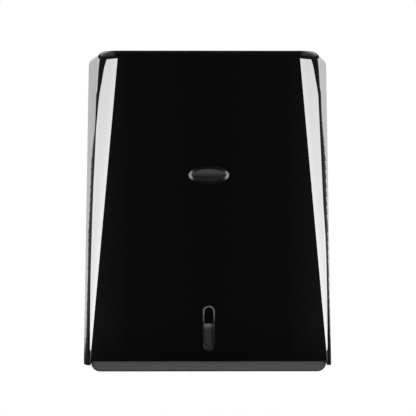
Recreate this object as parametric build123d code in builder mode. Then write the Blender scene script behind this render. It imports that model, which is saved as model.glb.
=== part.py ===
from build123d import *
import os
from math import asin, atan2, cos, radians, sin, sqrt

# Wall-hung dispenser for folded paper towels: a wall unit (back plate, guides, tray), a cover that
# hinges forward and down on two pins, and a cam lock in the cover's top.
# Millimetres. The origin is the centre of the wall-screw pattern on the wall plane; X runs to the
# right, +Y into the wall and Z up. A "rise" is a height above the cabinet's bottom plane.

# ------------------------------------------------------------------ cabinet form
HEIGHT = 356.0              # bottom plane to the cover's top face
DEPTH = 130.0               # wall plane to the cover's front face
BASE_WIDTH = 288.4          # cover's back edge at the bottom plane
TOP_DRAW_IN = 6.0           # each side: the back edge at the top stands inside the one at the base
FRONT_DRAW_BASE = 8.7       # each side: front corner inside the back edge, at the bottom plane
FRONT_DRAW_TOP = 17.1       # each side: the same at the top face
CORNER_R_BASE = 3.2         # upright front corners, at the bottom plane
CORNER_R_TOP = 24.0         # upright front corners, at the top face
TOP_EDGE_R = 9.0            # rounding between the top and the front and sides
WALL = 2.5                  # cover's wall
INSIDE_R_MIN = 0.5          # least rounding of an inside corner
EDGE_NEAR = 0.5             # an edge this near to a face or axis belongs to it
BACK_GAP = 1.0              # cover's back edge to the wall
FRONT_EDGE_RISE = 10.9      # cover's front lower edge
SKIRT_CORNER_RISE = 6.7     # cover's lower edge at its two front corners
SKIRT_CORNER_WIDTH = 0.8    # flat front left beside each corner where the skirt is cut away
SKIRT_NOTCH_R = 3.5         # ends of the raised front edge

# ------------------------------------------------------------------ hinge
EAR_R = 14.0                # cover's rounded ears about the hinge axis
PIN_R = 2.0
PIN_RUNNING_GAP = 0.05      # pin in the cover's boss
PIN_SEAT_GAP = 0.01         # pin in the wall unit's lug
PIN_CHAMFER = 0.4
PIN_END_GAP = 0.3
HINGE_BOSS_R = 6.0
HINGE_BOSS_LENGTH = 6.5
HINGE_SIDE_GAP = 0.5        # boss to lug, and lug to towel guide
LUG_R = 7.0
SWING_SPAN = 80             # degrees of the cover's swing beside the tray
SWING_STEP = 4

# ------------------------------------------------------------------ back plate
PLATE_T = 3.0
PLATE_GAP = 1.2             # plate's edge to the inside of the cover
PLATE_TOP_GAP = 1.5
PLATE_FOOT_RISE = 1.0
FLANGE_T = 2.2              # upright rim around the plate
FLANGE_DEPTH = 15.0
FLANGE_STEP = 1.6           # rim's set-back from the plate's edge
RIB_T = 2.2                 # upright ribs that the towels slide on
RIB_DEPTH = 12.0
RIB_COUNT = 4               # evenly spaced between the towel guides' feet
RIB_FOOT_GAP = 10.0         # outer ribs to the guides' feet
RIB_END_GAP = 24.0
WALL_HOLE_SPACING_X = 160.0
WALL_HOLE_SPACING_Z = 200.0
WALL_HOLE_R = 2.75
WALL_BOSS_R = 8.0
WALL_BOSS_HEIGHT = 2.0

# ------------------------------------------------------------------ towel guides
GUIDE_T = 2.0
GUIDE_FOOT_WIDTH = 14.0
GUIDE_FOOT_T = 2.5
GUIDE_TOP_GAP = 56.0        # guides end this far below the cover's top face
GUIDE_SETBACK = 21.5        # guide's lower front edge behind the tray's front wall
GUIDE_RAKE = 20.0           # guide's upper front edge stands this much further back
GUIDE_TOP_R = 12.0
GUIDE_BOSS_R = 4.5
GUIDE_SCREW_COUNT = 3       # in each guide's foot, evenly spaced
GUIDE_SCREW_RISE = 60.0     # lowest screw
GUIDE_SCREW_MARGIN = 30.0   # highest screw below the guide's top
GUIDE_SEAT_GAP = 0.3        # guides to the tray's floor, and tray to the back plate

# ------------------------------------------------------------------ towel tray
TRAY_SETBACK = 6.0          # tray's front face behind the cover's front face
TRAY_DROP = 0.9             # tray's underside below the bottom plane
TRAY_WALL = 2.5
TRAY_RIM_RISE = 20.0
TRAY_CORNER_R = 10.0        # lower corners, seen from the front
TRAY_EDGE_R = 3.0           # around the front face
SWING_GAP = 1.1             # least gap to the cover's sides as they swing past the tray
TRAY_NOTCH_GAP = 12.0       # tray's notch ahead of the hinge lugs
TRAY_NOTCH_WIDTH = 14.5     # notch reaches this far inside the tray's side
GUARD_RISE = 52.4           # raised middle of the front wall, behind the sight window
GUARD_WIDTH = 190.0
GUARD_R = 12.0
GUARD_EDGE_R = 1.0
THROAT_WIDTH = 160.0        # slot that the towels are pulled through
THROAT_DEPTH = 50.0
THROAT_R = 20.0
THROAT_LIP_R = 1.0
RUNNER_HEIGHT = 1.5         # low runners on the tray floor, beside the throat
RUNNER_T = 2.0
RUNNER_PITCH = 10.0
RUNNER_COUNT = 3
RUNNER_MARGIN = 9.0
TRAY_BOSS_R = 4.0
TRAY_SCREW_DROP = 5.5       # side screws below the tray's rim
TRAY_SCREW_FRONT = 18.0     # front side screws behind the guide's lower front edge
TRAY_SCREW_BACK = 8.0       # back side screws ahead of the tray's notch

# ------------------------------------------------------------------ sight window
WINDOW_RISE = 46.8          # centre of the window
WINDOW_WIDTH = 12.9         # across the bezel
WINDOW_HEIGHT = 51.3
BEZEL_RIM = 1.55
BEZEL_PROUD = 0.7
BEZEL_EDGE_R = 0.45
SLEEVE_T = 0.8              # bezel's sleeve through the cover's wall
SLEEVE_GAP = 0.1
LENS_T = 1.5
LENS_MARGIN = 9.5           # lens plate beyond the bezel, all round
LENS_CORNER_R = 4.0
STUD_R = 1.2                # studs on the cover that hold the lens plate
STUD_GAP = 0.1
STUD_INSET = 4.0            # stud centres inside the lens plate's edge
STUD_PROUD = 1.1            # beyond the lens plate
CLIP_R = 3.2
CLIP_T = 0.5
CLIP_GAP = 0.05

# ------------------------------------------------------------------ badge
BADGE_RISE = 217.4
BADGE_WIDTH = 45.0
BADGE_HEIGHT = 20.0
BADGE_T = 1.2
BADGE_RIM = 1.1
BADGE_FIELD_DEPTH = 0.3
BADGE_EDGE_R = 0.4

# ------------------------------------------------------------------ lock
LOCK_FROM_WALL = 50.0       # lock axis to the wall plane
BARREL_R = 8.0
BARREL_LENGTH = 22.0        # below the cover's top face
BARREL_HOLE_GAP = 0.1
BARREL_HEAD_R = 11.0
BARREL_HEAD_T = 2.0
BARREL_HEAD_EDGE_R = 0.8
WASHER_R = 11.5
WASHER_T = 0.8
NUT_FLATS = 19.0
NUT_T = 5.0
THREAD_GAP = 0.05
PLUG_R = 5.5
PLUG_GAP = 0.05             # running gap of the plug in the barrel
PLUG_HEAD_R = 6.8
PLUG_HEAD_T = 2.4
PLUG_RECESS = 0.4           # plug's face below the barrel's head
PLUG_END_GAP = 0.3          # cam below the barrel's end
KEYWAY_WIDTH = 1.3
KEYWAY_LENGTH = 7.0
KEYWAY_DEPTH = 6.0
TANG_WIDTH = 7.0            # square tang that drives the cam
TANG_GAP = 0.1
CAM_T = 2.0
CAM_R = 6.5
CAM_WIDTH = 10.0
CAM_REACH = 28.0
CAM_SCREW_R = 1.5
CAM_SCREW_LENGTH = 8.0
CAM_SCREW_HEAD_R = 4.2
CAM_SCREW_HEAD_T = 2.0

# ------------------------------------------------------------------ lock keeper
KEEPER_T = 1.5
KEEPER_WIDTH = 13.0
KEEPER_SIDE_GAP = 2.0       # keeper to the lock's washer, so that the cover swings clear
KEEPER_TAB_GAP = 1.2        # keeper's tab to the turned cam
KEEPER_DROP = 3.0           # keeper's arm below the cam
KEEPER_TAB_RISE = 3.0       # keeper's tab above the cam
KEEPER_FOOT = 25.0
KEEPER_BEND_R = 3.0
KEEPER_PAD_DEPTH = 9.0      # pad on the back plate under the keeper's foot
KEEPER_PAD_MARGIN = 2.5
KEEPER_SCREW_PITCH = 11.0

# ------------------------------------------------------------------ small screws
SCREW_R = 1.7
SCREW_HOLE_GAP = 0.1
SCREW_HEAD_R = 3.3
SCREW_HEAD_T = 1.8
SCREW_HEAD_EDGE_R = 0.9
SCREW_LENGTH = 8.0
SCREW_HEAD_SINK = 0.2       # guide screws' heads behind the front of the ribs
SCREW_TIP_GAP = 0.6         # pilot holes go this much deeper than the screws
RECESS_WIDTH = 0.9
RECESS_DEPTH = 1.1


# ================================================================== shared geometry
BASE_Z = -HEIGHT / 2
FRONT_Y = -DEPTH
HINGE_Y = -(BACK_GAP + EAR_R)
HINGE_RISE = EAR_R
PLATE_FRONT_Y = -PLATE_T
RIB_FRONT_Y = PLATE_FRONT_Y - RIB_DEPTH


def level(rise):
    """Height in the frame of a point that stands `rise` above the bottom plane."""
    return BASE_Z + rise


def half_back(rise):
    """Half-width of the cover across its back edge."""
    return BASE_WIDTH / 2 - TOP_DRAW_IN * rise / HEIGHT


def draw_in(rise):
    """How far the sharp front corner stands inside the back edge, each side."""
    return FRONT_DRAW_BASE + (FRONT_DRAW_TOP - FRONT_DRAW_BASE) * rise / HEIGHT


def side_slope(rise):
    """Sideways step of the cover's side per unit of depth."""
    return draw_in(rise) / (DEPTH - BACK_GAP)


def half_width(y, rise, inset=0.0):
    """Half-width of the cover's side face at one place, moved inwards square to the face."""
    slope = side_slope(rise)
    return half_back(rise) + slope * (y + BACK_GAP) - inset * sqrt(1 + slope**2)


def corner_radius(rise, inset=0.0):
    outside = CORNER_R_BASE + (CORNER_R_TOP - CORNER_R_BASE) * rise / HEIGHT
    return max(outside - inset, INSIDE_R_MIN)


def narrowest_passage(y, rise):
    """Least inside half-width of the cover among its places that swing past a fixed point."""
    reach = sqrt((y - HINGE_Y) ** 2 + (rise - HINGE_RISE) ** 2)
    start = atan2(rise - HINGE_RISE, HINGE_Y - y)
    turns = [start + radians(step) for step in range(0, SWING_SPAN, SWING_STEP)]
    return min(half_width(HINGE_Y - reach * cos(t), HINGE_RISE + reach * sin(t), WALL) for t in turns)


def cabinet_section(rise, inset=0.0, back_y=-BACK_GAP):
    """Plan outline of the cabinet at one height: straight back, drawn-in sides, rounded front."""
    front_y = FRONT_Y + inset
    back = half_width(back_y, rise, inset)
    front = half_width(front_y, rise, inset)
    with BuildSketch(Plane.XY.offset(level(rise))) as section:
        with BuildLine():
            Polyline((-back, back_y), (-front, front_y), (front, front_y), (back, back_y), close=True)
        make_face()
        fillet(section.vertices().group_by(Axis.Y)[0], radius=corner_radius(rise, inset))
    return section.sketch.face()


def at_front(y):
    """Sketch plane that faces out of the front: local x to the right, local y up."""
    return Plane(origin=(0, y, 0), x_dir=(1, 0, 0), z_dir=(0, -1, 0))


def screw(shank_r, shank_length, head_r, head_t):
    """Pan-head screw with a cross recess: its seat at the origin, head up and shank down."""
    with BuildPart() as body:
        with Locations((0, 0, -shank_length / 2)):
            Cylinder(shank_r, shank_length)
        with Locations((0, 0, head_t / 2)):
            Cylinder(head_r, head_t)
        fillet(
            body.edges().filter_by(GeomType.CIRCLE).sort_by(Axis.Z)[-1],
            radius=min(SCREW_HEAD_EDGE_R, head_t / 2),
        )
        with Locations((0, 0, head_t)):
            Box(head_r, RECESS_WIDTH, 2 * RECESS_DEPTH, mode=Mode.SUBTRACT)
            Box(RECESS_WIDTH, head_r, 2 * RECESS_DEPTH, mode=Mode.SUBTRACT)
    return body.part


def rod(start, direction, radius, length, mode=Mode.ADD):
    """Round boss, pin or hole: a cylinder from a point along a direction."""
    with BuildSketch(Plane(origin=start, z_dir=direction)) as end:
        Circle(radius)
    extrude(end.sketch.face(), amount=length, dir=direction, mode=mode)


# ================================================================== front cover
with BuildPart() as cover_hollow:
    loft(
        [
            cabinet_section(-EAR_R, WALL, back_y=EAR_R),
            cabinet_section(HEIGHT - WALL, WALL, back_y=EAR_R),
        ],
        ruled=True, clean=False,
    )
    ceiling = cover_hollow.faces().sort_by(Axis.Z)[-1].edges().sort_by(Axis.Y)[:-1]
    fillet(ceiling, radius=max(TOP_EDGE_R - WALL, INSIDE_R_MIN))

# The skirt's side edges run straight from the front corners to the underside of the ears.
skirt_drop = HINGE_RISE - SKIRT_CORNER_RISE
skirt_run = HINGE_Y - FRONT_Y
skirt_angle = atan2(skirt_drop, skirt_run) - asin(EAR_R / sqrt(skirt_drop**2 + skirt_run**2))
ear_touch = (HINGE_Y + EAR_R * sin(skirt_angle), level(HINGE_RISE - EAR_R * cos(skirt_angle)))

notch_flat = half_width(FRONT_Y, SKIRT_CORNER_RISE) - corner_radius(SKIRT_CORNER_RISE)
notch_half = notch_flat - SKIRT_CORNER_WIDTH
hinge_inside = half_width(HINGE_Y, HINGE_RISE, WALL)
boss_face = hinge_inside - HINGE_BOSS_LENGTH
opening_width = WINDOW_WIDTH - 2 * BEZEL_RIM
opening_height = WINDOW_HEIGHT - 2 * BEZEL_RIM
slot_width = opening_width + 2 * (SLEEVE_T + SLEEVE_GAP)
slot_height = opening_height + 2 * (SLEEVE_T + SLEEVE_GAP)
lens_width = WINDOW_WIDTH + 2 * LENS_MARGIN
lens_height = WINDOW_HEIGHT + 2 * LENS_MARGIN
cover_inside_y = FRONT_Y + WALL
lens_back_y = cover_inside_y + LENS_T
stud_places = [
    (x, level(WINDOW_RISE) + z)
    for x in (STUD_INSET - lens_width / 2, lens_width / 2 - STUD_INSET)
    for z in (STUD_INSET - lens_height / 2, lens_height / 2 - STUD_INSET)
]

with BuildPart() as front_cover:
    loft([cabinet_section(0), cabinet_section(HEIGHT)], ruled=True, clean=False)
    fillet(
        front_cover.faces().sort_by(Axis.Z)[-1].edges().sort_by(Axis.Y)[:-1],
        radius=TOP_EDGE_R,
    )
    add(cover_hollow.part, mode=Mode.SUBTRACT)
    # The front's lower edge is raised between the two corners.
    with BuildSketch(at_front(FRONT_Y - WALL)) as raised_edge:
        with Locations((0, level(FRONT_EDGE_RISE - EAR_R / 2))):
            Rectangle(2 * notch_half, EAR_R)
        fillet(raised_edge.vertices().group_by(Axis.Y)[-1], radius=SKIRT_NOTCH_R)
    extrude(amount=-3 * WALL, mode=Mode.SUBTRACT)
    # Side outline of the skirt: everything under the slanted edge and outside the ears goes.
    with BuildSketch(Plane.YZ.offset(-BASE_WIDTH)) as under_skirt:
        with BuildLine():
            Polyline(
                (FRONT_Y - EAR_R, level(-EAR_R)), (EAR_R, level(-EAR_R)), (EAR_R, level(HINGE_RISE)),
                (HINGE_Y, level(HINGE_RISE)), ear_touch,
                (FRONT_Y, level(SKIRT_CORNER_RISE)),
                (FRONT_Y - EAR_R, level(SKIRT_CORNER_RISE)),
                close=True,
            )
        make_face()
        with Locations((HINGE_Y, level(HINGE_RISE))):
            Circle(EAR_R, mode=Mode.SUBTRACT)
    extrude(amount=2 * BASE_WIDTH, mode=Mode.SUBTRACT)
    # Blind bosses inside the ears turn on the hinge pins.
    for side in (-1, 1):
        boss_plane = Plane(
            origin=(side * boss_face, HINGE_Y, level(HINGE_RISE)), x_dir=(0, 1, 0), z_dir=(side, 0, 0)
        )
        with BuildSketch(boss_plane):
            Circle(HINGE_BOSS_R)
        extrude(amount=HINGE_BOSS_LENGTH + WALL / 2)
        with BuildSketch(boss_plane):
            Circle(PIN_R + PIN_RUNNING_GAP)
        extrude(amount=HINGE_BOSS_LENGTH - PIN_END_GAP / 2, mode=Mode.SUBTRACT)
    # Window slot, and the studs for the lens plate.
    with BuildSketch(at_front(FRONT_Y)):
        with Locations((0, level(WINDOW_RISE))):
            SlotOverall(slot_height, slot_width, rotation=90)
    extrude(amount=-2 * WALL, mode=Mode.SUBTRACT)
    with BuildSketch(at_front(cover_inside_y)):
        with Locations(*stud_places):
            Circle(STUD_R)
    extrude(amount=-(LENS_T + STUD_PROUD))
    # Hole for the lock's barrel in the top.
    with BuildSketch(Plane.XY.offset(level(HEIGHT))):
        with Locations((0, -LOCK_FROM_WALL)):
            Circle(BARREL_R + BARREL_HOLE_GAP)
    extrude(amount=-2 * WALL, mode=Mode.SUBTRACT)
front_cover.part.label = "front_cover"

# ================================================================== sight window
with BuildPart() as window_bezel:
    with BuildSketch(at_front(FRONT_Y)):
        with Locations((0, level(WINDOW_RISE))):
            SlotOverall(WINDOW_HEIGHT, WINDOW_WIDTH, rotation=90)
    extrude(amount=BEZEL_PROUD)
    fillet(window_bezel.faces().sort_by(Axis.Y)[0].edges(), radius=BEZEL_EDGE_R)
    with BuildSketch(at_front(FRONT_Y)):
        with Locations((0, level(WINDOW_RISE))):
            SlotOverall(opening_height + 2 * SLEEVE_T, opening_width + 2 * SLEEVE_T, rotation=90)
    extrude(amount=-WALL)
    with BuildSketch(at_front(FRONT_Y)):
        with Locations((0, level(WINDOW_RISE))):
            SlotOverall(opening_height, opening_width, rotation=90)
    extrude(amount=2 * WALL, both=True, mode=Mode.SUBTRACT)
window_bezel.part.label = "window_bezel"

with BuildPart() as sight_window:
    with BuildSketch(at_front(cover_inside_y)):
        with Locations((0, level(WINDOW_RISE))):
            RectangleRounded(lens_width, lens_height, LENS_CORNER_R)
        with Locations(*stud_places):
            Circle(STUD_R + STUD_GAP, mode=Mode.SUBTRACT)
    extrude(amount=-LENS_T)
sight_window.part.label = "sight_window"

with BuildPart() as window_clips:
    with BuildSketch(at_front(lens_back_y)):
        with Locations(*stud_places):
            Circle(CLIP_R)
            Circle(STUD_R + CLIP_GAP, mode=Mode.SUBTRACT)
    extrude(amount=-CLIP_T)
window_clips.part.label = "window_clips"

# ================================================================== badge
with BuildPart() as badge_plate:
    with BuildSketch(at_front(FRONT_Y)):
        with Locations((0, level(BADGE_RISE))):
            Ellipse(BADGE_WIDTH / 2, BADGE_HEIGHT / 2)
    extrude(amount=BADGE_T)
    fillet(badge_plate.faces().sort_by(Axis.Y)[0].edges(), radius=BADGE_EDGE_R)
    with BuildSketch(at_front(FRONT_Y - BADGE_T)):
        with Locations((0, level(BADGE_RISE))):
            Ellipse(BADGE_WIDTH / 2 - BADGE_RIM, BADGE_HEIGHT / 2 - BADGE_RIM)
    extrude(amount=-BADGE_FIELD_DEPTH, mode=Mode.SUBTRACT)
badge_plate.part.label = "badge_plate"

# ================================================================== lock
LOCK_Y = -LOCK_FROM_WALL
barrel_end_rise = HEIGHT - BARREL_LENGTH
cam_top_rise = barrel_end_rise - PLUG_END_GAP
cam_bottom_rise = cam_top_rise - CAM_T
plug_top_rise = HEIGHT + BARREL_HEAD_T - PLUG_RECESS


def lock_disc(rise, radius, length, mode=Mode.ADD):
    """Round step on the lock's axis, from a rise downwards."""
    with Locations((0, LOCK_Y, level(rise) - length / 2)):
        Cylinder(radius, length, mode=mode)


with BuildPart() as lock_barrel:
    lock_disc(HEIGHT, BARREL_R, BARREL_LENGTH)
    lock_disc(HEIGHT + BARREL_HEAD_T, BARREL_HEAD_R, BARREL_HEAD_T)
    fillet(
        lock_barrel.edges().filter_by(GeomType.CIRCLE).sort_by(Axis.Z)[-1], radius=BARREL_HEAD_EDGE_R
    )
    lock_disc(HEIGHT + BARREL_HEAD_T, PLUG_R + PLUG_GAP, BARREL_LENGTH + BARREL_HEAD_T, Mode.SUBTRACT)
    lock_disc(
        HEIGHT + BARREL_HEAD_T, PLUG_HEAD_R + PLUG_GAP, PLUG_HEAD_T + PLUG_RECESS + PLUG_GAP, Mode.SUBTRACT
    )
lock_barrel.part.label = "lock_barrel"

washer_top_rise = HEIGHT - WALL
with BuildPart() as lock_washer:
    lock_disc(washer_top_rise, WASHER_R, WASHER_T)
    lock_disc(washer_top_rise, BARREL_R + THREAD_GAP, WASHER_T, Mode.SUBTRACT)
lock_washer.part.label = "lock_washer"

nut_top_rise = washer_top_rise - WASHER_T
with BuildPart() as lock_nut:
    with BuildSketch(Plane.XY.offset(level(nut_top_rise))):
        with Locations((0, LOCK_Y)):
            RegularPolygon(NUT_FLATS / 2, 6, major_radius=False)
            Circle(BARREL_R + THREAD_GAP, mode=Mode.SUBTRACT)
    extrude(amount=-NUT_T)
lock_nut.part.label = "lock_nut"

with BuildPart() as lock_cylinder:
    lock_disc(plug_top_rise, PLUG_R, plug_top_rise - cam_top_rise)
    lock_disc(plug_top_rise, PLUG_HEAD_R, PLUG_HEAD_T)
    with Locations((0, LOCK_Y, level(cam_top_rise) - CAM_T / 2)):
        Box(TANG_WIDTH, TANG_WIDTH, CAM_T)
    with Locations((0, LOCK_Y, level(plug_top_rise) - KEYWAY_DEPTH / 2)):
        Box(KEYWAY_WIDTH, KEYWAY_LENGTH, KEYWAY_DEPTH, mode=Mode.SUBTRACT)
    lock_disc(
        cam_bottom_rise + CAM_SCREW_LENGTH + SCREW_TIP_GAP, CAM_SCREW_R + THREAD_GAP,
        CAM_SCREW_LENGTH + SCREW_TIP_GAP, Mode.SUBTRACT,
    )
lock_cylinder.part.label = "lock_cylinder"

with BuildPart() as lock_cam:
    with BuildSketch(Plane.XY.offset(level(cam_top_rise))):
        with Locations((0, LOCK_Y)):
            Circle(CAM_R)
            with Locations((0, CAM_REACH / 2 - CAM_WIDTH / 4)):
                Rectangle(CAM_WIDTH, CAM_REACH - CAM_WIDTH / 2)
            with Locations((0, CAM_REACH - CAM_WIDTH / 2)):
                Circle(CAM_WIDTH / 2)
            Rectangle(TANG_WIDTH + 2 * TANG_GAP, TANG_WIDTH + 2 * TANG_GAP, mode=Mode.SUBTRACT)
    extrude(amount=-CAM_T)
lock_cam.part.label = "lock_cam"

with BuildPart() as cam_screw:
    with Locations(Plane(origin=(0, LOCK_Y, level(cam_bottom_rise)), z_dir=(0, 0, -1))):
        add(screw(CAM_SCREW_R, CAM_SCREW_LENGTH, CAM_SCREW_HEAD_R, CAM_SCREW_HEAD_T))
cam_screw.part.label = "cam_screw"

# ================================================================== wall unit: shared places
lug_outer = boss_face - HINGE_SIDE_GAP
tray_front_y = FRONT_Y + TRAY_SETBACK
tray_half = narrowest_passage(tray_front_y, TRAY_RIM_RISE) - SWING_GAP
tray_inside_y = tray_front_y + TRAY_WALL
tray_inside_half = tray_half - TRAY_WALL
tray_back_y = PLATE_FRONT_Y - GUIDE_SEAT_GAP
guide_outer = tray_inside_half - TRAY_BOSS_R
guide_inner = guide_outer - GUIDE_T
tray_inside_r = max(TRAY_CORNER_R - TRAY_WALL, INSIDE_R_MIN)
corner_reach = max(guide_outer - (tray_inside_half - tray_inside_r), 0)
tray_floor_rise = TRAY_WALL - TRAY_DROP
corner_lift = tray_inside_r - sqrt(tray_inside_r**2 - corner_reach**2)
guide_foot_rise = tray_floor_rise + corner_lift + GUIDE_SEAT_GAP
lug_inner = guide_outer + HINGE_SIDE_GAP
guide_foot_front_y = RIB_FRONT_Y + SCREW_HEAD_T + SCREW_HEAD_SINK
guide_foot_back_y = guide_foot_front_y + GUIDE_FOOT_T
guide_boss_x = guide_inner - GUIDE_FOOT_WIDTH / 2
outer_rib_x = guide_inner - GUIDE_FOOT_WIDTH - RIB_FOOT_GAP - RIB_T / 2
rib_pitch = 2 * outer_rib_x / (RIB_COUNT - 1)
plate_top_rise = HEIGHT - WALL - PLATE_TOP_GAP
flange_start_rise = HINGE_RISE + 2 * HINGE_BOSS_R
keeper_near = WASHER_R + KEEPER_SIDE_GAP
keeper_mid = keeper_near + KEEPER_WIDTH / 2
keeper_arm_rise = cam_bottom_rise - KEEPER_DROP
keeper_foot_y = PLATE_FRONT_Y - KEEPER_PAD_DEPTH
keeper_tab_y = LOCK_Y - CAM_WIDTH / 2 - KEEPER_TAB_GAP
keeper_screw_top = keeper_arm_rise - KEEPER_T - KEEPER_SCREW_PITCH / 2
keeper_screw_rises = (keeper_screw_top, keeper_screw_top - KEEPER_SCREW_PITCH)
pilot_r = SCREW_R + SCREW_HOLE_GAP
guide_screw_span = HEIGHT - GUIDE_TOP_GAP - GUIDE_SCREW_MARGIN - GUIDE_SCREW_RISE
guide_screws_at = [
    (
        side * guide_boss_x, guide_foot_front_y,
        level(GUIDE_SCREW_RISE + guide_screw_span * index / (GUIDE_SCREW_COUNT - 1)),
    )
    for side in (-1, 1)
    for index in range(GUIDE_SCREW_COUNT)
]
keeper_screws_at = [
    (keeper_mid, keeper_foot_y - KEEPER_T, level(rise)) for rise in keeper_screw_rises
]
guide_low_y = tray_inside_y + GUIDE_SETBACK
tray_notch_y = HINGE_Y - LUG_R - TRAY_NOTCH_GAP
tray_screw_rise = TRAY_RIM_RISE - TRAY_SCREW_DROP
tray_screws_at = [
    (side * tray_half, y, level(tray_screw_rise))
    for side in (-1, 1)
    for y in (guide_low_y + TRAY_SCREW_FRONT, tray_notch_y - TRAY_SCREW_BACK)
]
into_wall = (0, 1, 0)


def plate_section(shrink=0.0):
    """Front outline of the back plate, rounded at its top corners."""
    foot = PLATE_FOOT_RISE + shrink
    top = plate_top_rise - shrink
    foot_half = half_width(-BACK_GAP, foot, WALL) - PLATE_GAP - shrink
    top_half = half_width(-BACK_GAP, top, WALL) - PLATE_GAP - shrink
    with BuildSketch(at_front(0)) as section:
        with BuildLine():
            Polyline(
                (-foot_half, level(foot)), (foot_half, level(foot)), (top_half, level(top)),
                (-top_half, level(top)), close=True,
            )
        make_face()
        fillet(section.vertices().group_by(Axis.Y)[-1], radius=TOP_EDGE_R - shrink)
    return section.sketch.face()


# ================================================================== back plate
with BuildPart() as plate_rim:
    extrude(plate_section(FLANGE_STEP), amount=PLATE_T + FLANGE_DEPTH, dir=(0, -1, 0))
    extrude(
        plate_section(FLANGE_STEP + FLANGE_T), amount=PLATE_T + FLANGE_DEPTH, dir=(0, -1, 0),
        mode=Mode.SUBTRACT,
    )
    with Locations((0, 0, level(flange_start_rise))):
        Box(
            2 * BASE_WIDTH, 2 * DEPTH, HEIGHT,
            align=(Align.CENTER, Align.CENTER, Align.MAX), mode=Mode.SUBTRACT,
        )

with BuildPart() as back_plate:
    extrude(plate_section(), amount=PLATE_T, dir=(0, -1, 0))
    add(plate_rim.part)
    # Upright ribs carry the back of the towel stack.
    rib_low = flange_start_rise
    rib_high = HEIGHT - RIB_END_GAP
    for index in range(RIB_COUNT):
        with Locations((index * rib_pitch - outer_rib_x, PLATE_FRONT_Y, level(rib_low))):
            Box(
                RIB_T, RIB_DEPTH, rib_high - rib_low,
                align=(Align.CENTER, Align.MAX, Align.MIN),
            )
    # Pad under the lock keeper's foot.
    pad_height = KEEPER_FOOT + 2 * KEEPER_PAD_MARGIN
    with Locations((keeper_mid, PLATE_FRONT_Y, level(keeper_arm_rise) - KEEPER_FOOT / 2)):
        Box(
            KEEPER_WIDTH + 2 * KEEPER_PAD_MARGIN, KEEPER_PAD_DEPTH, pad_height,
            align=(Align.CENTER, Align.MAX, Align.CENTER),
        )
    # Bosses for the guides' screws, and rings around the wall-screw holes.
    for x, y, z in guide_screws_at:
        rod((x, 0, z), (0, -1, 0), GUIDE_BOSS_R, -guide_foot_back_y)
    with BuildSketch(at_front(0)):
        with GridLocations(WALL_HOLE_SPACING_X, WALL_HOLE_SPACING_Z, 2, 2):
            Circle(WALL_BOSS_R)
    extrude(amount=PLATE_T + WALL_BOSS_HEIGHT)
    with BuildSketch(at_front(0)):
        with GridLocations(WALL_HOLE_SPACING_X, WALL_HOLE_SPACING_Z, 2, 2):
            Circle(WALL_HOLE_R)
    extrude(amount=PLATE_T + WALL_BOSS_HEIGHT, mode=Mode.SUBTRACT)
    # Pilot holes for the small screws.
    for x, y, z in guide_screws_at + keeper_screws_at:
        rod((x, y, z), into_wall, pilot_r, SCREW_LENGTH + SCREW_TIP_GAP, Mode.SUBTRACT)
    # Lower corners stand clear of the ears as they turn.
    for side in (-1, 1):
        with Locations((side * lug_outer, 0, level(flange_start_rise))):
            Box(
                EAR_R * 2, DEPTH, 2 * flange_start_rise,
                align=(Align.MIN if side > 0 else Align.MAX, Align.CENTER, Align.MAX),
                mode=Mode.SUBTRACT,
            )
    # Lugs that hold the hinge pins.
    for side in (-1, 1):
        with BuildSketch(Plane.YZ.offset(side * (lug_inner + lug_outer) / 2)):
            with Locations((HINGE_Y, level(HINGE_RISE))):
                Circle(LUG_R)
            with Locations(((HINGE_Y + PLATE_FRONT_Y) / 2, level(HINGE_RISE))):
                Rectangle(PLATE_FRONT_Y - HINGE_Y, 2 * LUG_R)
        extrude(amount=(lug_outer - lug_inner) / 2, both=True)
        rod(
            (side * lug_inner, HINGE_Y, level(HINGE_RISE)), (side, 0, 0),
            PIN_R + PIN_SEAT_GAP, lug_outer - lug_inner, Mode.SUBTRACT,
        )
back_plate.part.label = "back_plate"

# ================================================================== hinge pins
pin_length = boss_face + HINGE_BOSS_LENGTH - PIN_END_GAP - lug_inner - HINGE_SIDE_GAP
hinge_pins = {}
for side, name in ((-1, "hinge_pin_left"), (1, "hinge_pin_right")):
    with BuildPart() as hinge_pin:
        rod(
            (side * (lug_inner + HINGE_SIDE_GAP), HINGE_Y, level(HINGE_RISE)), (side, 0, 0),
            PIN_R, pin_length,
        )
        chamfer(hinge_pin.edges().filter_by(GeomType.CIRCLE), length=PIN_CHAMFER)
    hinge_pin.part.label = name
    hinge_pins[name] = hinge_pin.part

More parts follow.
